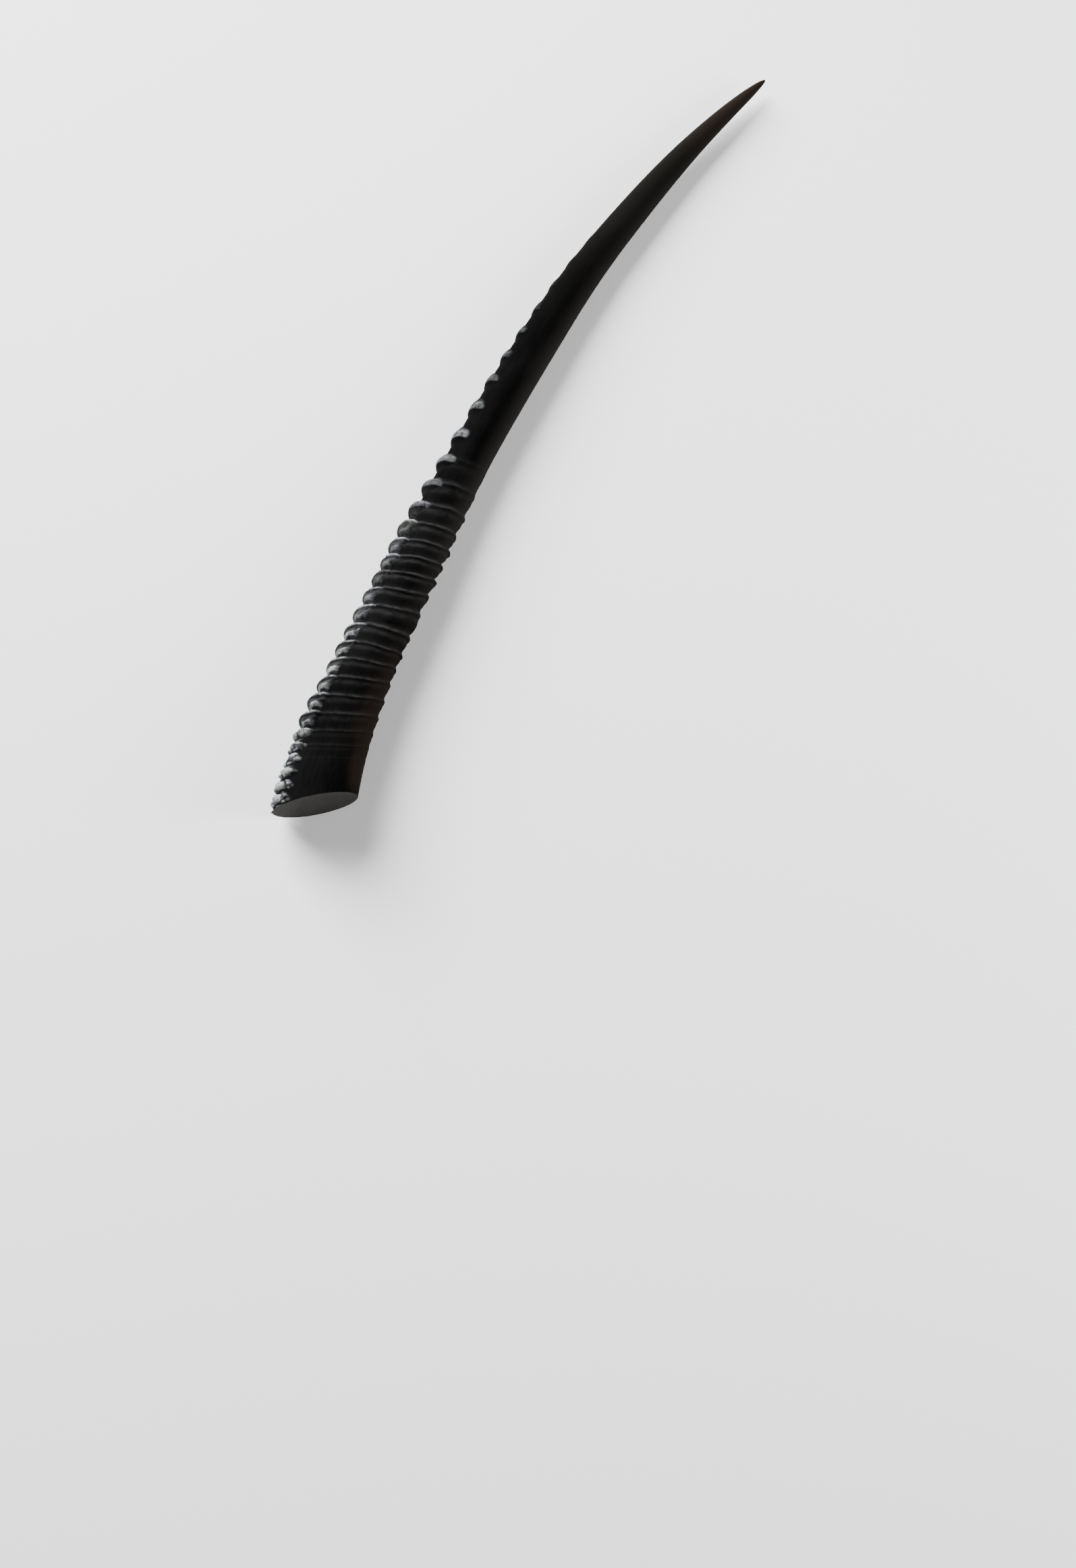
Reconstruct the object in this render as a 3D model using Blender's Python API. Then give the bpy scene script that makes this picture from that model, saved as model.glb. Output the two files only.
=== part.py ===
"""A gemsbok horn, sawn off flat at the skull and lying on its inner side.

Units are metres, with +Z up. The horn is drawn first in a frame of its own, with X from the
base to the tip, Y to the front, which is the convex, knobbed edge, and Z to the outer side.
It is then rolled and tipped onto the three places that it rests on.

A place is a distance along the centreline from the sawn base. An angle is measured round the
horn from the front. The horn grew in rings that hang lowest at the front, so each ring is
named by the place where it crosses the front.
"""

import math

import bmesh
import bpy
import numpy as np
from mathutils import Matrix, Vector

# The whole horn. The girth is the radius before the blunt taper of the whole length is taken off.
LENGTH = 0.820
GIRTH = (
    (0.0, 0.0303), (0.082, 0.0260), (0.164, 0.0240), (0.246, 0.0228), (0.328, 0.0231), (0.410, 0.0249),
    (0.492, 0.0262), (0.574, 0.0262), (0.656, 0.0266), (0.738, 0.0265), (0.820, 0.0276),
)
BEND_DEG = (
    (0.0, 0.0), (0.082, 6.5), (0.164, 11.1), (0.246, 12.2), (0.328, 13.8), (0.410, 15.9),
    (0.492, 17.5), (0.574, 22.2), (0.656, 24.6), (0.738, 28.8), (0.820, 32.9),
)
BASE_CUT_SLANT_DEG = 24.5

# The rings: where the first one is, the distance to the next, and how high each stands. At the
# front a ring swells to a knob, and the valleys between knobs sink into the shaft.
FIRST_RING = -0.0222
LAST_RING = 0.560
RING_PITCH = (
    (-0.0222, 0.0107), (-0.0115, 0.0109), (-0.0006, 0.0108), (0.0102, 0.0105), (0.0207, 0.0109),
    (0.0316, 0.0116), (0.0432, 0.0138), (0.0570, 0.0156), (0.100, 0.0158), (0.170, 0.0168),
    (0.2000, 0.0156), (0.2330, 0.0180), (0.2520, 0.0205), (0.2730, 0.0248), (0.2977, 0.0252),
    (0.3220, 0.0300), (0.3533, 0.0312), (0.3850, 0.0274), (0.4120, 0.0276), (0.4660, 0.0282),
    (0.6000, 0.0288),
)
KNOB_HEIGHT = (
    (-0.022, 0.0025), (-0.0155, 0.0045), (-0.008, 0.0072), (0.010, 0.0078), (0.035, 0.0084),
    (0.047, 0.0086), (0.060, 0.0090), (0.077, 0.0078), (0.092, 0.0055), (0.107, 0.0052),
    (0.124, 0.0052), (0.140, 0.0054), (0.175, 0.0056), (0.200, 0.0064), (0.235, 0.0086),
    (0.290, 0.0066), (0.340, 0.0046), (0.420, 0.0034), (0.520, 0.0012), (0.580, 0.0),
)
VALLEY_SHARE = 0.32
RING_HEIGHT = (
    (0.015, 0.0), (0.035, 0.0005), (0.060, 0.0013), (0.120, 0.0021), (0.170, 0.0030), (0.230, 0.0030),
    (0.270, 0.0014), (0.310, 0.0),
)
HALF_RING_PLACE = 0.1485
HALF_RING_ANGLES = (math.radians(70), math.radians(105))

# How far round a knob reaches, and over which share of that it falls away
KNOB_END_DEG = (
    (-0.020, 52.0), (0.020, 47.0), (0.035, 49.0), (0.047, 54.0), (0.090, 56.0), (0.107, 60.0), (0.123, 67.0),
    (0.140, 65.0), (0.175, 62.0), (0.200, 60.0), (0.221, 64.0), (0.239, 63.0), (0.260, 68.0), (0.307, 75.0),
    (0.332, 71.0), (0.364, 66.0), (0.395, 60.0), (0.420, 54.0), (0.600, 46.0),
)
LIPPED_FALLS_AWAY = 0.80
SMOOTH_FALLS_AWAY = 0.60
KNOB_ENDS = 1.06
KNOB_MIDDLE = 0.33
LIPPED_END_ROUNDNESS = 0.20
SMOOTH_END_ROUNDNESS = 0.60

# Near the base the knobs break up into lumps, until they are whole between these two places
LUMP_SHARE = 0.20
LUMPS_ROUND = 7
LUMP_SHIFT = 2.4
LUMPS_FADE = (0.020, 0.060)

# How far a ring has climbed at the back, as a share of the radius, and how late it does so: this
# power of the share of the way round, until it levels out
BACK_CLIMB = (
    (0.0, 0.85), (0.110, 0.85), (0.140, 0.66), (0.164, 1.10), (0.200, 1.00), (0.240, 0.80), (0.600, 0.70),
)
CLIMB_POWER = 2.2
LEVEL_FROM = 0.78

# A ring in section, as (share of the way to the next ring, share of the crest). A knob low on the
# horn is one rounded swelling at the very front. On its flanks it has a lower lip, a hollow and a
# sharp upper lip that stands over the foot of the next knob. Further up it is smooth all round.
NOSE_OF_KNOB = (
    (0.0, 0.82), (0.06, 0.92), (0.13, 0.98), (0.20, 1.0), (0.28, 0.99), (0.36, 0.94), (0.42, 0.82),
    (0.48, 0.58), (0.54, 0.34), (0.60, 0.20), (0.66, 0.16), (0.74, 0.22), (0.83, 0.38), (0.92, 0.62),
    (1.0, 0.82),
)
LIPPED_KNOB = (
    (0.0, 0.88), (0.06, 0.84), (0.14, 0.79), (0.22, 0.77), (0.29, 0.82), (0.34, 0.92), (0.375, 0.99),
    (0.41, 1.0), (0.445, 0.88), (0.48, 0.45), (0.51, 0.10), (0.55, 0.0), (0.60, 0.12), (0.66, 0.32),
    (0.72, 0.54), (0.78, 0.75), (0.84, 0.89), (0.89, 0.94), (0.95, 0.93), (1.0, 0.88),
)
SMOOTH_KNOB = (
    (0.0, 0.0), (0.10, 0.36), (0.20, 0.72), (0.28, 0.93), (0.34, 1.0), (0.44, 0.94), (0.60, 0.63),
    (0.80, 0.17), (1.0, 0.0),
)
CRUMBLED_KNOB = (
    (0.0, 0.38), (0.08, 0.56), (0.18, 0.82), (0.30, 0.96), (0.42, 1.0), (0.56, 0.95), (0.70, 0.80),
    (0.84, 0.58), (1.0, 0.38),
)
SIDE_RIDGE = (
    (0.0, 0.48), (0.10, 0.62), (0.20, 0.62), (0.28, 0.52), (0.33, 0.66), (0.37, 0.95), (0.40, 1.0),
    (0.44, 0.86), (0.49, 0.58), (0.56, 0.34), (0.64, 0.18), (0.75, 0.13), (0.88, 0.27), (1.0, 0.48),
)
LIPS = ((0.0, 0.15), (0.025, 0.30), (0.048, 1.0), (0.225, 1.0), (0.262, 0.45), (0.290, 0.15), (0.330, 0.0))
CRUMBLED = ((-0.030, 1.0), (0.022, 1.0), (0.036, 0.80), (0.048, 0.35), (0.060, 0.0))
FLANK = (math.radians(10), math.radians(34))
CREST = 0.36
ROWS_IN_RING = (0.0, 0.20, 0.41, 0.53, 0.76)

# How it lies
ROLL_DEG = -4.88
TIP_DOWN_DEG = 1.14

# The mesh
COLUMNS = 28
CROWD_TO_FRONT = 0.35
ROW_BELOW_CUT = -0.026
TIP_ROWS = 12
SHARP_ANGLE = math.radians(50)


def curve_through(stations, x):
    """A smooth curve through (place, value) stations, read at x."""
    places, values = np.array(stations).T
    slopes = np.gradient(values, places)
    i = np.clip(np.searchsorted(places, x) - 1, 0, len(places) - 2)
    span = places[i + 1] - places[i]
    u = np.clip((x - places[i]) / span, 0, 1)
    start = (1 + 2 * u) * (1 - u) ** 2 * values[i] + u * (1 - u) ** 2 * span * slopes[i]
    end = u * u * (3 - 2 * u) * values[i + 1] - u * u * (1 - u) * span * slopes[i + 1]
    return start + end


def smooth_step(x, low, high):
    u = np.clip((x - low) / (high - low), 0, 1)
    return u * u * (3 - 2 * u)


def shaft_radius(place):
    """The shaft without its rings, with a blunt taper to the tip."""
    return curve_through(GIRTH, place) * np.sqrt(np.clip(1 - place / LENGTH, 0, 1))


def centreline():
    """Places along the horn, the points of its centreline there, and its heading in radians."""
    step = 0.001
    places = np.arange(round(LENGTH / step) + 1) * step
    heading = -np.radians(curve_through(BEND_DEG, places))
    middle = (heading[1:] + heading[:-1]) / 2
    x = np.concatenate([[0], np.cumsum(np.cos(middle))]) * step
    y = np.concatenate([[0], np.cumsum(np.sin(middle))]) * step
    to_tip = math.atan2(y[-1], x[-1])
    cos, sin = math.cos(-to_tip), math.sin(-to_tip)
    return places, x * cos - y * sin, x * sin + y * cos, heading - to_tip


def on_shaft(line, place, angle, radius):
    """Points at this distance from the centreline. Below the base the horn runs on straight."""
    places, x, y, heading = line
    inside = np.clip(place, 0, LENGTH)
    beyond = place - inside
    a = np.interp(inside, places, heading)
    out = radius * np.cos(angle)
    px = np.interp(inside, places, x) + beyond * np.cos(a) - out * np.sin(a)
    py = np.interp(inside, places, y) + beyond * np.sin(a) + out * np.cos(a)
    return np.stack([px, py, radius * np.sin(angle)], axis=-1)


def climb(place, angle):
    """How far towards the tip a ring has climbed at this angle. It levels out at the very back."""
    share = np.abs(angle) / np.pi
    past = np.clip((share - LEVEL_FROM) / (1 - LEVEL_FROM), 0, 1)
    share = np.minimum(share, LEVEL_FROM) + (1 - LEVEL_FROM) * (past - past**2 / 2)
    return shaft_radius(place) * curve_through(BACK_CLIMB, place) * share**CLIMB_POWER


def ring_places():
    """Where each ring crosses the front."""
    places = [FIRST_RING]
    while places[-1] < LAST_RING:
        places.append(places[-1] + float(curve_through(RING_PITCH, places[-1])))
    return np.array(places)


def mix(share, first, second):
    return first + share * (second - first)


def half_ring(rows, across):
    """The height of the one ring that shows only at the back."""
    u = np.clip((rows - HALF_RING_PLACE) / curve_through(RING_PITCH, HALF_RING_PLACE), 0, 1)
    height = curve_through(RING_HEIGHT, HALF_RING_PLACE) * smooth_step(across, *HALF_RING_ANGLES)
    return height * np.sin(np.pi * u**0.6)


def relief(rows, angle):
    """How far the rings stand out of the shaft."""
    rings = ring_places()
    pitch = np.diff(rings)
    ring = np.clip(np.searchsorted(rings, rows, side="right") - 1, 0, len(pitch) - 1)
    phase = np.clip((rows - rings[ring]) / pitch[ring], 0, 1)
    at_ring = rows - CREST * pitch[ring]
    across = np.abs(angle)
    knob = curve_through(KNOB_HEIGHT, at_ring)
    lips = np.clip(curve_through(LIPS, at_ring), 0, 1)

    off_middle = 0.5 - 0.5 * np.cos(2 * np.pi * (phase - KNOB_MIDDLE))
    crumbled = np.clip(curve_through(CRUMBLED, rows), 0, 1)
    abrupt = np.maximum(lips, crumbled)
    roundness = mix(abrupt, SMOOTH_END_ROUNDNESS, LIPPED_END_ROUNDNESS)
    share_across = across / np.radians(curve_through(KNOB_END_DEG, at_ring)) + off_middle * roundness
    window = 1 - smooth_step(share_across, mix(abrupt, SMOOTH_FALLS_AWAY, LIPPED_FALLS_AWAY), KNOB_ENDS)
    flank = smooth_step(across, *FLANK)
    lipped = mix(flank, curve_through(NOSE_OF_KNOB, phase), curve_through(LIPPED_KNOB, phase))
    whole_section = mix(lips, curve_through(SMOOTH_KNOB, phase), lipped)
    front_section = mix(crumbled, whole_section, curve_through(CRUMBLED_KNOB, phase))
    section = mix(window, curve_through(SIDE_RIDGE, phase), front_section)

    lumps = LUMP_SHARE * np.sin(LUMPS_ROUND * angle + LUMP_SHIFT * ring)
    lumps = lumps * (1 - smooth_step(at_ring, *LUMPS_FADE))
    crest = np.maximum(knob * window * (1 + lumps), np.maximum(curve_through(RING_HEIGHT, at_ring), 0))
    return np.maximum(crest * section - VALLEY_SHARE * knob * window, half_ring(rows, across))


def row_places():
    """Where each row of points crosses the front: some to a ring, then closer and closer to the tip."""
    rings = ring_places()
    rows = (rings[:-1] + np.diff(rings) * np.array(ROWS_IN_RING)[:, None]).ravel()
    shares = 1 - np.arange(TIP_ROWS) / TIP_ROWS
    tip_rows = LENGTH - (LENGTH - rings[-1]) * shares**2
    return np.concatenate([[ROW_BELOW_CUT], np.sort(rows), tip_rows])


def horn_mesh():
    """Rows of points that follow the growth rings, closed at the tip and sawn off at the base."""
    line = centreline()
    turn = np.linspace(0, 2 * np.pi, COLUMNS, endpoint=False)
    angle = turn - CROWD_TO_FRONT * np.sin(turn)
    angle = (angle + np.pi) % (2 * np.pi) - np.pi
    rows = row_places()[:, None]
    place = rows + climb(rows, angle[None, :])
    radius = shaft_radius(place) + relief(rows, angle[None, :])
    points = on_shaft(line, place, angle[None, :], radius)

    mesh = bmesh.new()
    loops = [[mesh.verts.new(point) for point in row] for row in points.tolist()]
    for lower, upper in zip(loops, loops[1:]):
        for i in range(COLUMNS):
            j = (i + 1) % COLUMNS
            mesh.faces.new((lower[i], lower[j], upper[j], upper[i]))
    tip = mesh.verts.new(on_shaft(line, np.array(LENGTH), np.array(0.0), np.array(0.0)).tolist())
    for i in range(COLUMNS):
        mesh.faces.new((loops[-1][i], loops[-1][(i + 1) % COLUMNS], tip))
    mesh.faces.new(loops[0][::-1])

    heading = line[3][0] + math.radians(BASE_CUT_SLANT_DEG)
    whole = mesh.verts[:] + mesh.edges[:] + mesh.faces[:]
    towards_tip = (math.cos(heading), math.sin(heading), 0)
    cut = bmesh.ops.bisect_plane(mesh, geom=whole, plane_co=(0, 0, 0), plane_no=towards_tip, clear_inner=True)
    rim = [item for item in cut["geom_cut"] if isinstance(item, bmesh.types.BMEdge)]
    bmesh.ops.edgeloop_fill(mesh, edges=rim)
    bmesh.ops.recalc_face_normals(mesh, faces=mesh.faces[:])
    return mesh


def lay_down(mesh):
    """Rolls and tips the horn onto its inner side, with the middle of its box over the origin."""
    roll = Matrix.Rotation(math.radians(ROLL_DEG), 4, "X")
    tip_down = Matrix.Rotation(math.radians(TIP_DOWN_DEG), 4, "Y")
    bmesh.ops.transform(mesh, matrix=tip_down @ roll, verts=mesh.verts)
    corners = np.array([vert.co for vert in mesh.verts])
    low, high = corners.min(axis=0), corners.max(axis=0)
    shift = Vector((-(low[0] + high[0]) / 2, -(low[1] + high[1]) / 2, -low[2]))
    bmesh.ops.translate(mesh, vec=shift, verts=mesh.verts)


def keratin():
    material = bpy.data.materials.new("keratin")
    material.use_nodes = True
    shader = material.node_tree.nodes["Principled BSDF"]
    shader.inputs["Base Color"].default_value = (0.022, 0.021, 0.021, 1)
    shader.inputs["Roughness"].default_value = 0.45
    shader.inputs["Metallic"].default_value = 0
    return material


def main():
    for old in list(bpy.data.objects):
        bpy.data.objects.remove(old)
    mesh = horn_mesh()
    lay_down(mesh)
    data = bpy.data.meshes.new("horn")
    mesh.to_mesh(data)
    mesh.free()
    data.shade_smooth()
    data.set_sharp_from_angle(angle=SHARP_ANGLE)
    data.materials.append(keratin())
    horn = bpy.data.objects.new("horn", data)
    bpy.context.scene.collection.objects.link(horn)


if __name__ == "__main__":
    main()
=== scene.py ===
"""The looks of a gemsbok horn: dark ringed keratin, pale worn knobs and a plain sawn base.

Units are metres, with +Z up. The horn is drawn first in a frame of its own, with X from the base
to the tip, Y to the front, which is the convex, knobbed edge, and Z to the outer side. A place is
a distance along the centreline from the sawn base, and an angle is measured round the horn from
the front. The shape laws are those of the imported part, so that the sheath fits over its solid.
"""

import math

import bmesh
import bpy
import numpy as np
from mathutils import Matrix, Vector


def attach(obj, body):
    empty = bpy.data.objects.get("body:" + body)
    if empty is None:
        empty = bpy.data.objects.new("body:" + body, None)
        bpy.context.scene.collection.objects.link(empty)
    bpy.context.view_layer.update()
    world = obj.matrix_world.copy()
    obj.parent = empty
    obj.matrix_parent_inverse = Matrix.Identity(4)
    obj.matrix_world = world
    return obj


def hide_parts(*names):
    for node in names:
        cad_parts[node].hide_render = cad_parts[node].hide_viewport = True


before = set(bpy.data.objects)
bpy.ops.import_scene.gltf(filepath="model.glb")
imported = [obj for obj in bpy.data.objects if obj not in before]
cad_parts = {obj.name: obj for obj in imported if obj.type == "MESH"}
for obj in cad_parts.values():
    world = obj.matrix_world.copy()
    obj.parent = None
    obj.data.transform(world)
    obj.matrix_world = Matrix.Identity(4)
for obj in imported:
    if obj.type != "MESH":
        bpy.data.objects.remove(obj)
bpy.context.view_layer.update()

# The whole horn. The girth is the radius before the blunt taper of the whole length is taken off.
LENGTH = 0.820
GIRTH = (
    (0.0, 0.0303), (0.082, 0.0260), (0.164, 0.0240), (0.246, 0.0228), (0.328, 0.0231), (0.410, 0.0249),
    (0.492, 0.0262), (0.574, 0.0262), (0.656, 0.0266), (0.738, 0.0265), (0.820, 0.0276),
)
BEND_DEG = (
    (0.0, 0.0), (0.082, 6.5), (0.164, 11.1), (0.246, 12.2), (0.328, 13.8), (0.410, 15.9),
    (0.492, 17.5), (0.574, 22.2), (0.656, 24.6), (0.738, 28.8), (0.820, 32.9),
)
BASE_CUT_SLANT_DEG = 24.5

# The rings: where the first one is, the distance to the next, and how high each stands. At the
# front a ring swells to a knob, and the valleys between knobs sink into the shaft.
FIRST_RING = -0.0222
LAST_RING = 0.560
RING_PITCH = (
    (-0.0222, 0.0107), (-0.0115, 0.0109), (-0.0006, 0.0108), (0.0102, 0.0105), (0.0207, 0.0109),
    (0.0316, 0.0116), (0.0432, 0.0138), (0.0570, 0.0156), (0.100, 0.0158), (0.170, 0.0168),
    (0.2000, 0.0156), (0.2330, 0.0180), (0.2520, 0.0205), (0.2730, 0.0248), (0.2977, 0.0252),
    (0.3220, 0.0300), (0.3533, 0.0312), (0.3850, 0.0274), (0.4120, 0.0276), (0.4660, 0.0282),
    (0.6000, 0.0288),
)
KNOB_HEIGHT = (
    (-0.022, 0.0025), (-0.0155, 0.0045), (-0.008, 0.0072), (0.010, 0.0078), (0.035, 0.0084),
    (0.047, 0.0086), (0.060, 0.0090), (0.077, 0.0078), (0.092, 0.0055), (0.107, 0.0052),
    (0.124, 0.0052), (0.140, 0.0054), (0.175, 0.0056), (0.200, 0.0064), (0.235, 0.0086),
    (0.290, 0.0066), (0.340, 0.0046), (0.420, 0.0034), (0.520, 0.0012), (0.580, 0.0),
)
VALLEY_SHARE = 0.32
RING_HEIGHT = (
    (0.015, 0.0), (0.035, 0.0005), (0.060, 0.0013), (0.120, 0.0021), (0.170, 0.0030), (0.230, 0.0030),
    (0.270, 0.0014), (0.310, 0.0),
)
HALF_RING_PLACE = 0.1485
HALF_RING_ANGLES = (math.radians(70), math.radians(105))

# How far a ring has climbed at the back, as a share of the radius, and how late it does so: this
# power of the share of the way round, until it levels out
BACK_CLIMB = (
    (0.0, 0.85), (0.110, 0.85), (0.140, 0.66), (0.164, 1.10), (0.200, 1.00), (0.240, 0.80), (0.600, 0.70),
)
CLIMB_POWER = 2.2
LEVEL_FROM = 0.78

# A ring in section, as (share of the way to the next ring, share of the crest). A knob low on the
# horn is one rounded swelling at the very front. On its flanks it has a lower lip, a hollow and a
# sharp upper lip that stands over the foot of the next knob. Further up it is smooth all round. At
# the base it is a plain lump, and beside the knobs every ring is a sharp, low ridge.
NOSE_OF_KNOB = (
    (0.0, 0.82), (0.06, 0.92), (0.13, 0.98), (0.20, 1.0), (0.28, 0.99), (0.36, 0.94), (0.42, 0.82),
    (0.48, 0.58), (0.54, 0.34), (0.60, 0.20), (0.66, 0.16), (0.74, 0.22), (0.83, 0.38), (0.92, 0.62),
    (1.0, 0.82),
)
LIPPED_KNOB = (
    (0.0, 0.88), (0.06, 0.84), (0.14, 0.79), (0.22, 0.77), (0.29, 0.82), (0.34, 0.92), (0.375, 0.99),
    (0.41, 1.0), (0.445, 0.88), (0.48, 0.45), (0.51, 0.10), (0.55, 0.0), (0.60, 0.12), (0.66, 0.32),
    (0.72, 0.54), (0.78, 0.75), (0.84, 0.89), (0.89, 0.94), (0.95, 0.93), (1.0, 0.88),
)
SMOOTH_KNOB = (
    (0.0, 0.0), (0.10, 0.36), (0.20, 0.72), (0.28, 0.93), (0.34, 1.0), (0.44, 0.94), (0.60, 0.63),
    (0.80, 0.17), (1.0, 0.0),
)
CRUMBLED_KNOB = (
    (0.0, 0.38), (0.08, 0.56), (0.18, 0.82), (0.30, 0.96), (0.42, 1.0), (0.56, 0.95), (0.70, 0.80),
    (0.84, 0.58), (1.0, 0.38),
)
SIDE_RIDGE = (
    (0.0, 0.48), (0.10, 0.62), (0.20, 0.62), (0.28, 0.52), (0.33, 0.66), (0.37, 0.95), (0.40, 1.0),
    (0.44, 0.86), (0.49, 0.58), (0.56, 0.34), (0.64, 0.18), (0.75, 0.13), (0.88, 0.27), (1.0, 0.48),
)
FLANK_DEG = (10, 34)
CREST = 0.36
KNOB_MIDDLE = 0.33

# Which knobs have lips, and not the smooth section
LIPS = (
    (0.0, 0.15), (0.025, 0.30), (0.048, 1.0), (0.225, 1.0), (0.262, 0.45), (0.290, 0.15), (0.330, 0.0),
)

# How worn and pale a knob is along the same way, and the ridges beside it. On a smooth knob the pale lens
# is partly wear and partly a painted highlight on its slope towards the tip.
UPPER_LIP_WEAR = (
    (0.0, 0.14), (0.10, 0.12), (0.28, 0.12), (0.325, 0.25), (0.350, 0.9), (0.40, 1.0), (0.450, 0.8),
    (0.485, 0.10), (0.54, 0.03), (0.66, 0.07), (0.80, 0.12), (1.0, 0.14),
)
LOWER_LIP_WEAR = (
    (0.0, 0.08), (0.05, 0.0), (0.70, 0.0), (0.745, 0.10), (0.775, 0.75), (0.82, 0.9), (0.91, 0.9),
    (0.955, 0.45), (1.0, 0.08),
)
# smooth knobs: the pale lens on the slope towards the tip is partly wear and partly a painted highlight
SMOOTH_WEAR_AND_HIGHLIGHT = (
    (0.0, 0.0), (0.20, 0.0), (0.245, 0.75), (0.30, 1.0), (0.41, 0.85), (0.51, 0.50), (0.61, 0.12),
    (0.72, 0.0), (1.0, 0.0),
)
SIDE_WEAR = (
    (0.0, 0.15), (0.12, 0.40), (0.24, 0.12), (0.31, 0.05), (0.36, 0.6), (0.40, 0.9), (0.46, 0.6),
    (0.56, 0.15), (0.64, 0.0), (1.0, 0.15),
)

# How worn the knobs are along the horn, where the lower lips fade and what is left of them above
# that, how much less worn a knob is at the very front than on its flanks, and the height from which
# a ridge is fully worn
WEAR_LEVEL = (
    (0.0, 0.9), (0.130, 1.0), (0.155, 0.85), (0.230, 0.80), (0.280, 0.45), (0.370, 0.38), (0.410, 0.24),
    (0.470, 0.10), (0.560, 0.04),
)
LOWER_LIP_FADES = (0.128, 0.150)
LOWER_LIP_LEFT = 0.28
WORN_FLANK_DEG = (8, 30)
WORN_AT_FRONT = 0.65
WORN_RIDGE_HEIGHT = 0.002
SCALES_WORN = 2.3

# Towards its end a knob's lower lip comes closer to the upper one, by this share of the way to the
# next ring, and this is how much each part of the knob moves
LIPS_CLOSE = 0.05
CLOSING_DEG = (28, 60)
CLOSING_SHARE = (
    (0.0, 1.0), (0.10, 1.0), (0.20, 0.6), (0.30, 0.15), (0.36, 0.0), (0.60, 0.0), (0.78, 0.5),
    (0.90, 1.0), (1.0, 1.0),
)

# How far round a knob reaches, and the share of that from which it falls away: a smooth one first,
# a lipped one later by this, and a crumbled one by this more. The ends of domes are rounder.
KNOB_END_DEG = (
    (-0.020, 52.0), (0.020, 47.0), (0.035, 49.0), (0.047, 54.0), (0.090, 56.0), (0.107, 60.0),
    (0.123, 67.0), (0.140, 65.0), (0.175, 62.0), (0.200, 60.0), (0.221, 64.0), (0.239, 63.0),
    (0.260, 68.0), (0.307, 75.0), (0.332, 71.0), (0.364, 66.0), (0.395, 60.0), (0.420, 54.0),
    (0.600, 46.0),
)
SMOOTH_FALLS_FROM = 0.62
LIPPED_LATER = 0.26
CRUMBLED_LATER = 0.07
KNOB_ENDS = 1.06

# A crest this high carries growth lines, chips and wear in full
FULL_CREST = 0.006

# Near the base the knobs are broken up into crumbly scales
CRUMBLED = ((-0.030, 1.0), (0.022, 1.0), (0.036, 0.80), (0.048, 0.35), (0.060, 0.0))

# Where a knob is chipped down to pale horn, as (place, degrees, half length, half width in degrees)
PALE_CHIPS = (
    (0.0440, 44, 0.0018, 4), (0.1375, 54, 0.0020, 4), (0.1175, 32, 0.0012, 12), (0.0120, 30, 0.0016, 6),
    (0.0240, 40, 0.0015, 5),
)

# How it lies
ROLL_DEG = -4.88
TIP_DOWN_DEG = 1.14

# The grid of the sheath
COLUMNS = 134
CROWD_TO_FRONT = 0.35
ROWS_IN_RING = 22
ROW_BELOW_CUT = -0.026
TIP_ROWS = 60

# The camera, from the photograph: the middle of the base to the right, down and away from it, and
# the way the chord from base to tip points, above the picture's right and away from its plane
PICTURE_PX = (1595, 2324)
LENS_PX = 2400
BASE_IN_VIEW = (-0.1701, 0.0160, 1.2431)
CHORD_UP_DEG = 60.34
CHORD_AWAY_DEG = 18.57

# The finishes
CHARCOAL = ((0.0006, 0.0006, 0.0006, 1), (0.0030, 0.0029, 0.0029, 1))
WORN_RIDGE = (0.0170, 0.0166, 0.0163, 1)
OLIVE = (0.0046, 0.0043, 0.0036, 1)
# painted sheen: a lighter grey along the rear of the horn, standing in for the sheen on its rear edge
PAINTED_REAR_SHEEN = (0.0125, 0.0119, 0.0109, 1)
BROWN = (0.0115, 0.0078, 0.0056, 1)
# the grey of dry, worn horn, also used for the painted highlight on smooth knobs
DRY_AND_HIGHLIGHT_GREY = (0.085, 0.086, 0.090, 1)
PALE_GREEN = (0.26, 0.28, 0.265, 1)
PALE_BLUE = (0.26, 0.265, 0.30, 1)
SAWN = ((0.010, 0.009, 0.008, 1), (0.026, 0.023, 0.020, 1))
FLOOR_WHITE = (0.86, 0.86, 0.86, 1)

# The studio
FLOOR_HALF = 6
KEY_POWER = 560
RIM_POWER = 40
SKY_LOW = 1.6
SKY_OVERHEAD = 0.06
SKY_DARK_FROM = 0.55


# ---- The laws of the horn's shape

def curve_through(stations, x):
    """A smooth curve through (place, value) stations, read at x."""
    places, values = np.array(stations).T
    slopes = np.gradient(values, places)
    i = np.clip(np.searchsorted(places, x) - 1, 0, len(places) - 2)
    span = places[i + 1] - places[i]
    u = np.clip((x - places[i]) / span, 0, 1)
    start = (1 + 2 * u) * (1 - u) ** 2 * values[i] + u * (1 - u) ** 2 * span * slopes[i]
    end = u * u * (3 - 2 * u) * values[i + 1] - u * u * (1 - u) * span * slopes[i + 1]
    return start + end


def smooth_step(x, low, high):
    u = np.clip((x - low) / (high - low), 0, 1)
    return u * u * (3 - 2 * u)


def shaft_radius(place):
    """The shaft without its rings, with a blunt taper to the tip."""
    return curve_through(GIRTH, place) * np.sqrt(np.clip(1 - place / LENGTH, 0, 1))


def centreline():
    """Places along the horn, the points of its centreline there, and its heading in radians."""
    step = 0.001
    places = np.arange(round(LENGTH / step) + 1) * step
    heading = -np.radians(curve_through(BEND_DEG, places))
    middle = (heading[1:] + heading[:-1]) / 2
    x = np.concatenate([[0], np.cumsum(np.cos(middle))]) * step
    y = np.concatenate([[0], np.cumsum(np.sin(middle))]) * step
    to_tip = math.atan2(y[-1], x[-1])
    cos, sin = math.cos(-to_tip), math.sin(-to_tip)
    return places, x * cos - y * sin, x * sin + y * cos, heading - to_tip


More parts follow.
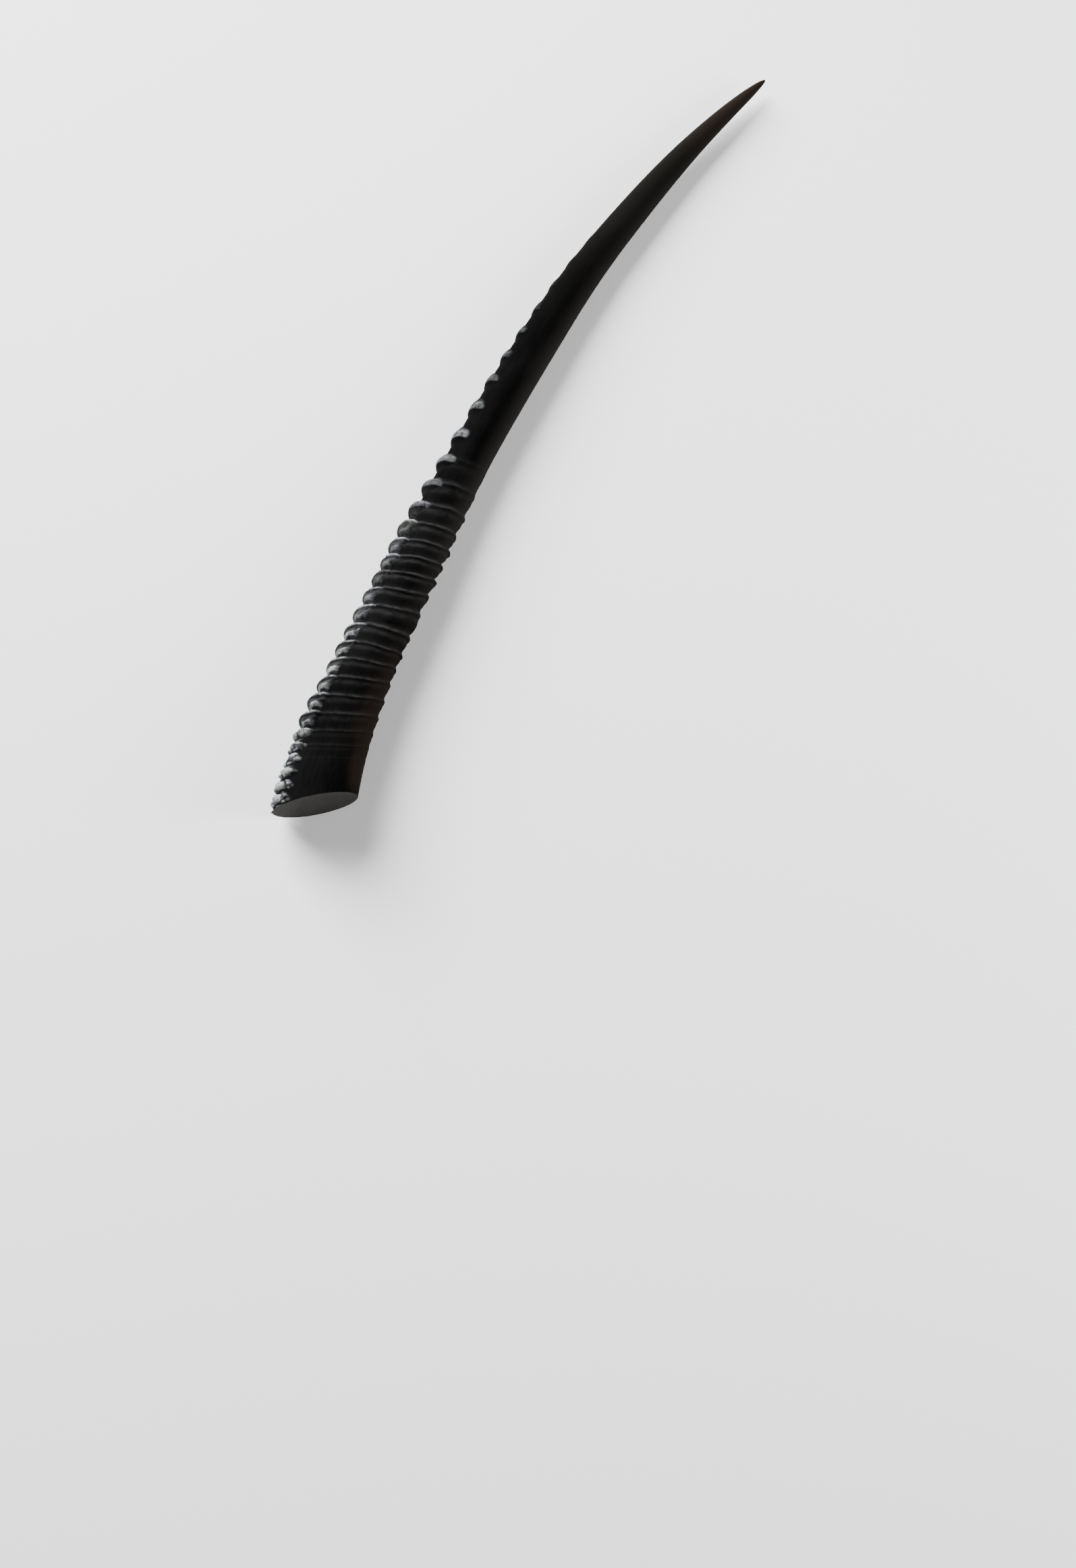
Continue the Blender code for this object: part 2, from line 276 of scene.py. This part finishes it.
def climb(place, angle):
    """How far towards the tip a ring has climbed at this angle. It levels out at the very back."""
    share = np.abs(angle) / np.pi
    past = np.clip((share - LEVEL_FROM) / (1 - LEVEL_FROM), 0, 1)
    share = np.minimum(share, LEVEL_FROM) + (1 - LEVEL_FROM) * (past - past**2 / 2)
    return shaft_radius(place) * curve_through(BACK_CLIMB, place) * share**CLIMB_POWER


def ring_places():
    """Where each ring crosses the front."""
    places = [FIRST_RING]
    while places[-1] < LAST_RING:
        places.append(places[-1] + float(curve_through(RING_PITCH, places[-1])))
    return np.array(places)


# ---- The sheath before its rings are raised

def half_ring(rows, angle):
    """The height of the one ring that shows only at the back."""
    u = (rows - HALF_RING_PLACE) / curve_through(RING_PITCH, HALF_RING_PLACE)
    across = smooth_step(np.abs(angle), *HALF_RING_ANGLES)
    shown = (u >= 0) & (u < 1)
    height = curve_through(RING_HEIGHT, HALF_RING_PLACE) * across
    return np.where(shown, height * np.sin(np.pi * np.clip(u, 0, 1) ** 0.6), 0)


def chipped(rows, degrees):
    """Where the pale chips are."""
    found = 0
    for place, middle, length, width in PALE_CHIPS:
        found = found + np.exp(-(((rows - place) / length) ** 2) - ((degrees - middle) / width) ** 2)
    return np.minimum(found, 1)


def sheath_rows(rings):
    """Where each row of the sheath crosses the front: many to a ring, then closer and closer to the tip."""
    share = np.linspace(0, 1, ROWS_IN_RING, endpoint=False)
    in_rings = (rings[:-1, None] + np.diff(rings)[:, None] * share).ravel()
    to_tip = 1 - np.linspace(0, 1, TIP_ROWS, endpoint=False)
    return np.concatenate([[ROW_BELOW_CUT], in_rings, LENGTH - (LENGTH - rings[-1]) * to_tip**1.5])


def tube(points, tip, fields):
    """A mesh of these rows of points, closed at the tip, with the fields' values at each point."""
    count = len(points) * COLUMNS
    faces = []
    for lower in range(0, count - COLUMNS, COLUMNS):
        upper = lower + COLUMNS
        for i in range(COLUMNS):
            j = (i + 1) % COLUMNS
            faces.append((lower + i, lower + j, upper + j, upper + i))
    last = count - COLUMNS
    faces += [(last + i, last + (i + 1) % COLUMNS, count) for i in range(COLUMNS)]
    mesh = bpy.data.meshes.new("horn_sheath")
    mesh.from_pydata([*points.reshape(-1, 3), tip], [], faces)
    for name, values in fields.items():
        vector = values.ndim == 3
        layer = mesh.attributes.new(name, "FLOAT_VECTOR" if vector else "FLOAT", "POINT")
        flat = values.reshape(count, -1)
        flat = np.concatenate([flat, flat[-1:]]).astype(np.float32)
        layer.data.foreach_set("vector" if vector else "value", flat.ravel())
    return mesh


def smooth_sheath():
    """The sheath and its chord, from base to tip. Its rows follow the rings, and each of its points
    carries what the rings and the finish need to know there."""
    places, line_x, line_y, heading = centreline()
    rings = ring_places()
    rows = sheath_rows(rings)
    pitch = np.diff(rings)
    ring = np.clip(np.searchsorted(rings, rows, side="right") - 1, 0, len(pitch) - 1)
    phase = np.clip((rows - rings[ring]) / pitch[ring], 0, 1)

    turn = np.linspace(0, 2 * np.pi, COLUMNS, endpoint=False)
    angle = turn - CROWD_TO_FRONT * np.sin(turn)
    angle = ((angle + np.pi) % (2 * np.pi) - np.pi)[None, :]
    rows = rows[:, None]
    place = rows + climb(rows, angle)
    radius = shaft_radius(place)
    inside = np.clip(place, 0, LENGTH)
    bearing = np.interp(inside, places, heading)
    along = np.stack([np.cos(bearing), np.sin(bearing), np.zeros_like(bearing)], axis=-1)
    front = np.stack([-np.sin(bearing), np.cos(bearing), np.zeros_like(bearing)], axis=-1)
    side = np.broadcast_to([0.0, 0.0, 1.0], front.shape)
    middle = [np.interp(inside, places, line_x), np.interp(inside, places, line_y), 0 * inside]
    middle = np.stack(middle, axis=-1)
    middle = middle + along * (place - inside)[..., None]
    across = np.broadcast_to(angle, place.shape)[..., None]
    outward = front * np.cos(across) + side * np.sin(across)

    def at_rings(stations):
        """A law of the rings, read so that each crest has the value at its own ring."""
        return np.broadcast_to(curve_through(stations, rows - CREST * pitch[ring][:, None]), place.shape)

    fields = {
        "grown": np.stack([rows + 0 * place, radius * np.cos(angle), radius * np.sin(angle)], axis=-1),
        "outward": outward,
        "along": along,
        "around": across[..., 0],
        "rings_passed": np.broadcast_to((ring + phase)[:, None], place.shape),
        "wear_level": at_rings(WEAR_LEVEL),
        "knob": at_rings(KNOB_HEIGHT),
        "knob_end": np.radians(at_rings(KNOB_END_DEG)),
        "ridge": np.maximum(at_rings(RING_HEIGHT), 0),
        "half_ring": half_ring(rows, angle),
        "lips": np.clip(at_rings(LIPS), 0, 1),
        "crumbled": np.clip(curve_through(CRUMBLED, place), 0, 1),
        "chipped": chipped(rows, np.degrees(angle)),
    }
    chord = Vector((line_x[-1], line_y[-1], 0))
    return tube(middle + outward * radius[..., None], chord, fields), chord


# ---- Node trees, written as formulas

class Field:
    """A value that varies over a surface. Arithmetic on it adds math nodes to its tree."""

    def __init__(self, socket):
        self.socket = socket
        self.tree = socket.id_data

    def calc(self, operation, *others):
        node = add_node(self.tree, "ShaderNodeMath", dict(enumerate((self, *others))), operation=operation)
        return Field(node.outputs[0])

    def __add__(self, other):
        return self.calc("ADD", other)

    def __sub__(self, other):
        return self.calc("SUBTRACT", other)

    def __mul__(self, other):
        return self.calc("MULTIPLY", other)

    def __rsub__(self, other):
        return self.calc("MULTIPLY_ADD", -1.0, other)

    __radd__ = __add__

    def step(self, low, high, start=0.0, end=1.0):
        """Goes smoothly from start to end as the field goes from low to high."""
        inputs = {"Value": self, "From Min": low, "From Max": high, "To Min": start, "To Max": end}
        node = add_node(self.tree, "ShaderNodeMapRange", inputs, interpolation_type="SMOOTHSTEP")
        return Field(node.outputs["Result"])

    def through(self, points):
        """Reads a curve of (x, y) points at the field."""
        node = add_node(self.tree, "ShaderNodeFloatCurve", {"Value": self})
        curve = node.mapping.curves[0]
        curve.points[0].location = points[0]
        curve.points[-1].location = points[-1]
        for x, y in points[1:-1]:
            curve.points.new(x, y)
        node.mapping.update()
        return Field(node.outputs["Value"])

    def scaled(self, factor):
        """A vector field times a number or a field."""
        node = add_node(self.tree, "ShaderNodeVectorMath", {0: self, "Scale": factor}, operation="SCALE")
        return Field(node.outputs["Vector"])

    def plus(self, other):
        """A vector field plus another."""
        node = add_node(self.tree, "ShaderNodeVectorMath", {0: self, 1: other}, operation="ADD")
        return Field(node.outputs["Vector"])

    def stretched(self, x, y, z):
        """A vector field times a number along each axis."""
        node = add_node(self.tree, "ShaderNodeVectorMath", {0: self, 1: (x, y, z)}, operation="MULTIPLY")
        return Field(node.outputs["Vector"])


def add_node(tree, kind, inputs=None, **settings):
    """Adds a node with these settings. An input is a plain value or a field."""
    node = tree.nodes.new(kind)
    for name, value in settings.items():
        setattr(node, name, value)
    for key, value in (inputs or {}).items():
        if isinstance(value, Field):
            tree.links.new(value.socket, node.inputs[key])
        else:
            node.inputs[key].default_value = value
    return node


def noise(vector, scale, detail=2.0, roughness=0.5, vector_out=False):
    """Smooth noise about 0.5, as a number or as a vector."""
    inputs = {"Vector": vector, "Scale": scale, "Detail": detail, "Roughness": roughness}
    return Field(add_node(vector.tree, "ShaderNodeTexNoise", inputs).outputs[1 if vector_out else 0])


def to_cell_edge(vector, scale):
    """The distance to the nearest edge between uneven cells."""
    inputs = {"Vector": vector, "Scale": scale}
    node = add_node(vector.tree, "ShaderNodeTexVoronoi", inputs, feature="DISTANCE_TO_EDGE")
    return Field(node.outputs["Distance"])


def mix(factor, first, second):
    return first + factor * (second - first)


def along_lips(phase, across):
    """The share of the way to the next ring, drawn in so that a knob's lips close up towards its end."""
    low, high = CLOSING_DEG
    closing = across.step(math.radians(low), math.radians(high)) * LIPS_CLOSE
    return (phase - closing * phase.through(CLOSING_SHARE) + 1.0).calc("FRACT")


# ---- The growth rings

GROWTH_INPUTS = {
    "Seed": 0.0,
    "Valley share": VALLEY_SHARE,
    "Waver": 0.0015,
    "Ragged knob ends": 0.30,
    "Knob end roundness": 0.20,
    "Dome roundness": 0.60,
    "Lump scale": 110.0,
    "Lump bend": 0.003,
    "Crumb scale": 240.0,
    "Crumb height": 0.0004,
    "Growth line scale": 900.0,
    "Growth line depth": 0.00016,
    "Chip scale": 140.0,
    "Chip depth": 0.0009,
    "Fibre scale": 420.0,
    "Fibre depth": 0.00010,
}


def growth_rings():
    """The tree that raises rings, knobs, scales and fine growth lines out of the smooth sheath."""
    tree = bpy.data.node_groups.new("growth rings", "GeometryNodeTree")
    tree.interface.new_socket("Geometry", in_out="INPUT", socket_type="NodeSocketGeometry")
    tree.interface.new_socket("Geometry", in_out="OUTPUT", socket_type="NodeSocketGeometry")
    tree.interface.new_socket("Keratin", in_out="INPUT", socket_type="NodeSocketMaterial")
    for name in GROWTH_INPUTS:
        tree.interface.new_socket(name, in_out="INPUT", socket_type="NodeSocketFloat")
    start = tree.nodes.new("NodeGroupInput")

    def given(name):
        return Field(start.outputs[name])

    def named(name, kind="FLOAT"):
        node = add_node(tree, "GeometryNodeInputNamedAttribute", {"Name": name}, data_type=kind)
        return Field(node.outputs["Attribute"])

    grown = named("grown", "FLOAT_VECTOR").plus(given("Seed"))
    phase = named("rings_passed").calc("FRACT")
    knob = named("knob")
    lips = named("lips")
    crumbled = named("crumbled")
    across = named("around").calc("ABSOLUTE")

    # a knob's ends are abrupt and ragged, and it is whole at the front
    torn = (crumbled * -0.5 + 1.0) * given("Ragged knob ends")
    ragged = (noise(grown, 110, detail=3) - 0.5) * torn
    off_middle = ((phase - KNOB_MIDDLE) * 2 * math.pi).calc("COSINE") * -0.5 + 0.5
    abrupt = lips.calc("MAXIMUM", crumbled)
    roundness = mix(abrupt, given("Dome roundness"), given("Knob end roundness"))
    share_across = across.calc("DIVIDE", named("knob_end")) + ragged + off_middle * roundness
    falls_from = abrupt * LIPPED_LATER + crumbled * CRUMBLED_LATER + SMOOTH_FALLS_FROM
    window = share_across.step(falls_from, KNOB_ENDS, 1.0, 0.0)

    # the ring itself
    uneven = (noise(grown.stretched(0.6, 1, 1), 75, detail=2) - 0.5) * 1.1 + 1.0
    flank = across.step(*np.radians(FLANK_DEG).tolist())
    lipped = mix(flank, phase.through(NOSE_OF_KNOB), along_lips(phase, across).through(LIPPED_KNOB))
    whole_section = mix(lips, phase.through(SMOOTH_KNOB), lipped)
    front_section = mix(crumbled, whole_section, phase.through(CRUMBLED_KNOB))
    section = mix(window, phase.through(SIDE_RIDGE), front_section)
    crest = (knob * window).calc("MAXIMUM", named("ridge") * uneven)

    # the lowest knobs are cracked into lumps with crumbs on them
    bent = noise(grown, 120, detail=2, vector_out=True).scaled(given("Lump bend"))
    lump = to_cell_edge(grown.stretched(1.0, 0.80, 0.80).plus(bent), given("Lump scale")).step(0.0, 0.28)
    crumb = noise(grown, given("Crumb scale"), detail=2)
    at_front = share_across.step(0.92, 1.05, 1.0, 0.0)
    broken = crumbled * at_front
    whole_crest = mix(crumbled, 1.0, lump * 0.36 + 0.64)
    height = crest * section * whole_crest - knob * window * given("Valley share")
    height = height.calc("MAXIMUM", named("half_ring") * uneven)
    height = height + broken * (crumb - 0.5) * given("Crumb height") * 2.0

    # growth lines along the lips, chips out of them, and fibres along the horn
    lines = noise(grown.stretched(1, 0.08, 0.08), given("Growth line scale"), detail=2) - 0.5
    raised = (crest * (1 / FULL_CREST)).calc("MINIMUM", 1.0)
    height = height + lines * raised * given("Growth line depth") * 2.0
    chip = noise(grown, given("Chip scale"), detail=2, roughness=0.6).step(0.60, 0.68)
    height = height - chip * window * section * raised * given("Chip depth")
    fibre = noise(grown.stretched(0.06, 1, 1), given("Fibre scale"), detail=3) - 0.5
    height = height + fibre * given("Fibre depth")

    waver = (noise(grown.stretched(0.5, 1, 1), 60, detail=2) - 0.5) * given("Waver") * 2.0
    outward, along = named("outward", "FLOAT_VECTOR"), named("along", "FLOAT_VECTOR")
    offset = outward.scaled(height).plus(along.scaled(waver))

    # what the finish needs to know
    from_knob_to_knob = noise(grown.stretched(1, 0.15, 0.15), 55, detail=1).step(0.35, 0.65) * 0.5 + 0.6
    unchipped = (chip * -0.4 + 1.0) * from_knob_to_knob * named("wear_level")
    on_knob = share_across.step(0.86, 1.02, 1.0, 0.0) * raised.step(0.05, 0.5) * unchipped
    scaly = at_front * lump * (crumb.step(0.32, 0.56) * 0.8 + 0.35) * section.step(0.45, 0.85)

    moved = add_node(tree, "GeometryNodeSetPosition", {"Offset": offset})
    tree.links.new(start.outputs["Geometry"], moved.inputs["Geometry"])
    last = moved
    kept = {"on_knob": on_knob, "scaly": scaly}
    for name, value in kept.items():
        inputs = {"Geometry": Field(last.outputs[0]), "Name": name, "Value": value}
        last = add_node(tree, "GeometryNodeStoreNamedAttribute", inputs, data_type="FLOAT", domain="POINT")
    whole_mesh = add_node(tree, "GeometryNodeRealizeInstances", {"Geometry": Field(last.outputs[0])})
    inputs = {"Geometry": Field(whole_mesh.outputs[0]), "Material": given("Keratin")}
    finished = add_node(tree, "GeometryNodeSetMaterial", inputs)
    end = tree.nodes.new("NodeGroupOutput")
    tree.links.new(finished.outputs[0], end.inputs["Geometry"])
    return tree


def raise_rings(sheath, keratin):
    """The sheath's mesh with its rings raised by the growth tree."""
    tree = growth_rings()
    modifier = sheath.modifiers.new("growth", "NODES")
    modifier.node_group = tree
    values = {**GROWTH_INPUTS, "Keratin": keratin}
    for item in tree.interface.items_tree:
        if item.in_out == "INPUT" and item.name in values:
            modifier[item.identifier] = values[item.name]
    graph = bpy.context.evaluated_depsgraph_get()
    grown = bpy.data.meshes.new_from_object(sheath.evaluated_get(graph))
    sheath.modifiers.remove(modifier)
    return grown


def saw_off(mesh, sawn):
    """Cuts the sheath flat at the base, and closes the cut with a sawn face."""
    mesh.materials.append(sawn)
    heading = centreline()[3][0] + math.radians(BASE_CUT_SLANT_DEG)
    towards_tip = (math.cos(heading), math.sin(heading), 0)
    work = bmesh.new()
    work.from_mesh(mesh)
    whole = work.verts[:] + work.edges[:] + work.faces[:]
    plane = {"plane_co": (0, 0, 0), "plane_no": towards_tip}
    cut = bmesh.ops.bisect_plane(work, geom=whole, clear_inner=True, **plane)
    rim = [item for item in cut["geom_cut"] if isinstance(item, bmesh.types.BMEdge)]
    face = bmesh.ops.edgeloop_fill(work, edges=rim)["faces"][0]
    face.material_index = 1
    bmesh.ops.recalc_face_normals(work, faces=work.faces[:])
    for each in work.faces:
        each.smooth = each.material_index == 0
    for edge in rim:
        edge.smooth = False
    work.to_mesh(mesh)
    work.free()


def as_it_lies(chord):
    """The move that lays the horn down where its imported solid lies, by the solid's tip."""
    tip = max((vert.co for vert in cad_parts["horn"].data.vertices), key=lambda co: co.x)
    roll = Matrix.Rotation(math.radians(ROLL_DEG), 4, "X")
    turn = Matrix.Rotation(math.radians(TIP_DOWN_DEG), 4, "Y") @ roll
    return Matrix.Translation(tip - turn @ chord) @ turn


# ---- Finishes

def new_material(name):
    material = bpy.data.materials.new(name)
    material.use_nodes = True
    return material, material.node_tree, material.node_tree.nodes["Principled BSDF"]


def attribute(tree, name, output="Fac"):
    return Field(add_node(tree, "ShaderNodeAttribute", attribute_name=name).outputs[output])


def colour_mix(factor, first, second):
    """A colour between two, which are plain colours or fields."""
    inputs = {"Factor": factor, 6: first, 7: second}
    node = add_node(factor.tree, "ShaderNodeMix", inputs, data_type="RGBA")
    return Field(node.outputs[2])


def horn_grain():
    """The node group both finishes share: soft clouds, and a fine grain drawn out along the horn."""
    group = bpy.data.node_groups.new("horn grain", "ShaderNodeTree")
    for name, kind in (("Grown", "Vector"), ("Cloud scale", "Float"), ("Grain scale", "Float")):
        group.interface.new_socket(name, in_out="INPUT", socket_type="NodeSocket" + kind)
    start = group.nodes.new("NodeGroupInput")
    end = group.nodes.new("NodeGroupOutput")
    grown, cloud_scale, grain_scale = (Field(socket) for socket in start.outputs[:3])
    cloud = noise(grown.stretched(0.5, 1, 1), cloud_scale, detail=3)
    round_grain = noise(grown.stretched(0.5, 1, 1), grain_scale, detail=3)
    long_grain = noise(grown.stretched(0.05, 1, 1), grain_scale * 0.35, detail=3)
    results = {"Cloud": cloud, "Grain": round_grain * 0.4 + long_grain * 0.6}
    for name, result in results.items():
        group.interface.new_socket(name, in_out="OUTPUT", socket_type="NodeSocketFloat")
        group.links.new(result.socket, end.inputs[name])
    return group


def clouds_and_grain(group, grown, cloud_scale, grain_scale):
    inputs = {"Grown": grown, "Cloud scale": cloud_scale, "Grain scale": grain_scale}
    node = add_node(grown.tree, "ShaderNodeGroup", inputs, node_tree=group)
    return Field(node.outputs["Cloud"]), Field(node.outputs["Grain"])


def worn_and_highlight_parts(tree, place):
    """How worn the knobs are, with crisp lips and a painted highlight on the smooth ones, and how worn the
    ridges beside them are.
    """
    phase = attribute(tree, "rings_passed").calc("FRACT")
    across = attribute(tree, "around").calc("ABSOLUTE")
    flank = across.step(*np.radians(WORN_FLANK_DEG).tolist(), WORN_AT_FRONT, 1.0)
    way = along_lips(phase, across)
    lower = way.through(LOWER_LIP_WEAR) * place.step(*LOWER_LIP_FADES, 1.0, LOWER_LIP_LEFT)
    lipped = (lower + way.through(UPPER_LIP_WEAR)) * flank
    lips = attribute(tree, "lips").step(0.5, 1.0)
    # on smooth knobs the pale lens is partly wear and partly a painted highlight
    on_knob = attribute(tree, "on_knob") * mix(lips, phase.through(SMOOTH_WEAR_AND_HIGHLIGHT), lipped)
    knobs = mix(attribute(tree, "crumbled"), on_knob, attribute(tree, "scaly") * SCALES_WORN)
    ridges = attribute(tree, "ridge") * (1 / WORN_RIDGE_HEIGHT) * phase.through(SIDE_WEAR)
    return knobs, ridges


def unworn_colour(place, to_front, ridges, mottle, cloud, grain):
    """Charcoal horn with greyer ridges, olive to the tip, a painted sheen of lighter grey at the rear, and
    brown at both ends.
    """
    streaked = (cloud * 0.6 + grain * 0.4).step(0.36, 0.64)
    colour = colour_mix(streaked, *CHARCOAL)
    ridges = ridges * (mottle.step(0.30, 0.62) * 0.7 + 0.3)
    colour = colour_mix(ridges.calc("MINIMUM", 1.0), colour, WORN_RIDGE)
    colour = colour_mix(place.step(0.40, 0.80), colour, OLIVE)
    at_rear = (to_front * -1.0).step(0.004, 0.022)
    # painted sheen: the rear is painted lighter grey where the sheen on the rear edge shows; the same rear
    # mask also places the real brown at the ends
    colour = colour_mix(at_rear * place.step(0.10, 0.30), colour, PAINTED_REAR_SHEEN)
    at_ends = place.step(0.02, 0.25, 0.7, 0.0) + place.step(0.45, 0.62, 0.0, 0.6)
    brown = at_rear * cloud.step(0.42, 0.62) * at_ends
    brown = brown.calc("MAXIMUM", place.step(0.66, 0.80, 0.0, 0.75))
    return colour_mix(brown, colour, BROWN)


def dry_and_highlight_colour(grown, mottle):
    """Rubbed, dry horn, also the colour of the painted highlight on smooth knobs: grey to pale, tinged
    green in some places and blue in others.
    """
    tinge = noise(grown, 90, detail=1).step(0.42, 0.58)
    return colour_mix(mottle.step(0.32, 0.60), DRY_AND_HIGHLIGHT_GREY, colour_mix(tinge, PALE_GREEN, PALE_BLUE))


def rubbed_and_highlit_share(tree, grown, worn_and_highlit, mottle, lines):
    """How much dry horn shows: the wear and the painted highlight on smooth knobs, broken into streaks, and
    the chips with torn edges.
    """
    breaks = noise(grown.stretched(0.25, 1, 1), 420, detail=2).step(0.34, 0.50) * 0.5 + 0.5
    streaks = (lines.step(0.32, 0.58) * 0.45 + 0.55) * (mottle.step(0.25, 0.48) * 0.25 + 0.75)
    chips = attribute(tree, "chipped") * attribute(tree, "on_knob").step(0.1, 0.4)
    torn = (chips * 0.8 + noise(grown, 1100, detail=2)).step(0.85, 1.20) * 0.7
    return (worn_and_highlit * breaks * streaks).calc("MAXIMUM", torn).calc("MINIMUM", 1.0)


def weathered_keratin(grain_group):
    """Dark horn with pale, dry wear on its knobs, and a painted highlight on the smooth ones."""
    material, tree, shader = new_material("weathered_keratin")
    grown = attribute(tree, "grown", "Vector")
    apart = add_node(tree, "ShaderNodeSeparateXYZ", {0: grown}).outputs
    place, to_front = Field(apart["X"]), Field(apart["Y"])
    worn_and_highlit, ridges = worn_and_highlight_parts(tree, place)

    mottle = noise(grown.stretched(1, 0.6, 0.6), 260, detail=4, roughness=0.6)
    lines = noise(grown.stretched(1, 0.08, 0.08), 1500, detail=3)
    cloud, grain = clouds_and_grain(grain_group, grown, 28.0, 2600.0)
    unworn = unworn_colour(place, to_front, ridges, mottle, cloud, grain)
    rubbed_and_highlit = rubbed_and_highlit_share(tree, grown, worn_and_highlit, mottle, lines)
    # pale where the knobs are worn, and where a highlight is painted on the smooth knobs
    colour = colour_mix(rubbed_and_highlit, unworn, dry_and_highlight_colour(grown, mottle))
    tree.links.new(colour.socket, shader.inputs["Base Color"])

    rough = mix(worn_and_highlit, place.step(0.45, 0.80, 0.74, 0.55), 0.80) + (cloud - 0.5) * 0.12
    tree.links.new(rough.socket, shader.inputs["Roughness"])
    shader.inputs["Specular IOR Level"].default_value = 0.008

    relief = grain + worn_and_highlit * (lines - 0.5) * 1.4
    bump = add_node(tree, "ShaderNodeBump", {"Strength": 0.35, "Distance": 0.0006, "Height": relief})
    tree.links.new(bump.outputs["Normal"], shader.inputs["Normal"])
    return material


def sawn_horn(grain_group):
    """The sawn base: plain dark grey-brown horn, with fine saw marks."""
    material, tree, shader = new_material("sawn_horn")
    grown = attribute(tree, "grown", "Vector")
    cloud, grain = clouds_and_grain(grain_group, grown, 90.0, 2600.0)
    marks = noise(grown.stretched(0.05, 1, 0.05), 1200, detail=2) + grain * 0.4
    colour = colour_mix(cloud, *SAWN)
    tree.links.new(colour.socket, shader.inputs["Base Color"])
    shader.inputs["Roughness"].default_value = 0.75
    shader.inputs["Specular IOR Level"].default_value = 0.1
    bump = add_node(tree, "ShaderNodeBump", {"Strength": 0.4, "Distance": 0.0003, "Height": marks})
    tree.links.new(bump.outputs["Normal"], shader.inputs["Normal"])
    return material


def pale_floor():
    material, tree, shader = new_material("pale_floor")
    shader.inputs["Base Color"].default_value = FLOOR_WHITE
    shader.inputs["Roughness"].default_value = 0.9
    shader.inputs["Specular IOR Level"].default_value = 0.1
    return material


# ---- The camera and the studio

def camera_axes(lying):
    """The directions to the picture's right, up and back, and the camera's own place."""
    up, away = math.radians(CHORD_UP_DEG), math.radians(CHORD_AWAY_DEG)
    chord = Vector((math.cos(up) * math.cos(away), -math.sin(up) * math.cos(away), math.sin(away)))
    front = Vector((-math.sin(up), -math.cos(up), 0))
    view = Matrix((chord, front, chord.cross(front)))
    turn = lying.to_3x3()
    place = lying @ -(view @ Vector(BASE_IN_VIEW))
    return turn @ view.col[0], turn @ -view.col[1], turn @ -view.col[2], place


def put_camera(lying):
    right, up, back, place = camera_axes(lying)
    camera = bpy.data.objects.new("camera", bpy.data.cameras.new("camera"))
    camera.data.lens = LENS_PX / max(PICTURE_PX) * camera.data.sensor_width
    camera.data.clip_start = 0.02
    camera.matrix_world = Matrix.Translation(place) @ Matrix((right, up, back)).transposed().to_4x4()
    bpy.context.collection.objects.link(camera)
    bpy.context.scene.camera = camera
    return right, up, back


def soft_box(name, direction, distance, size, power):
    """A square soft light that shines on the middle of the horn."""
    lamp = bpy.data.lights.new(name, "AREA")
    lamp.size = size
    lamp.energy = power
    light = bpy.data.objects.new(name, lamp)
    light.location = direction.normalized() * distance
    light.rotation_euler = direction.to_track_quat("Z", "Y").to_euler()
    bpy.context.collection.objects.link(light)


def put_studio(right, up, back):
    floor_mesh = bpy.data.meshes.new("floor")
    work = bmesh.new()
    bmesh.ops.create_grid(work, x_segments=1, y_segments=1, size=FLOOR_HALF)
    work.to_mesh(floor_mesh)
    work.free()
    floor_mesh.materials.append(pale_floor())
    floor = bpy.data.objects.new("floor", floor_mesh)
    bpy.context.collection.objects.link(floor)
    to_key = -right * 0.50 + up * 0.80 + back * 0.60
    to_rim = right * 0.85 - up * 0.1 + back * 0.30
    soft_box("key", to_key, distance=3.2, size=2.2, power=KEY_POWER)
    soft_box("rim", to_rim, distance=1.8, size=0.9, power=RIM_POWER)


def put_sky():
    """A room that is bright low down and dark overhead, so that the horn's upper side stays dark."""
    world = bpy.data.worlds.new("studio")
    bpy.context.scene.world = world
    world.use_nodes = True
    tree = world.node_tree
    direction = Field(add_node(tree, "ShaderNodeTexCoord").outputs["Generated"])
    height = Field(add_node(tree, "ShaderNodeSeparateXYZ", {0: direction}).outputs["Z"])
    strength = height.step(0.0, SKY_DARK_FROM, SKY_LOW, SKY_OVERHEAD)
    tree.links.new(strength.socket, tree.nodes["Background"].inputs["Strength"])
    tree.nodes["Background"].inputs["Color"].default_value = (1, 1, 1, 1)


# ---- The horn

blank, chord = smooth_sheath()
sheath = bpy.data.objects.new("horn_sheath", blank)
bpy.context.collection.objects.link(sheath)
grain_group = horn_grain()
finished = raise_rings(sheath, weathered_keratin(grain_group))
saw_off(finished, sawn_horn(grain_group))
lying = as_it_lies(chord)
finished.transform(lying)
sheath.data = finished
bpy.data.meshes.remove(blank)
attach(sheath, "root")
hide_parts("horn")

put_studio(*put_camera(lying))
put_sky()
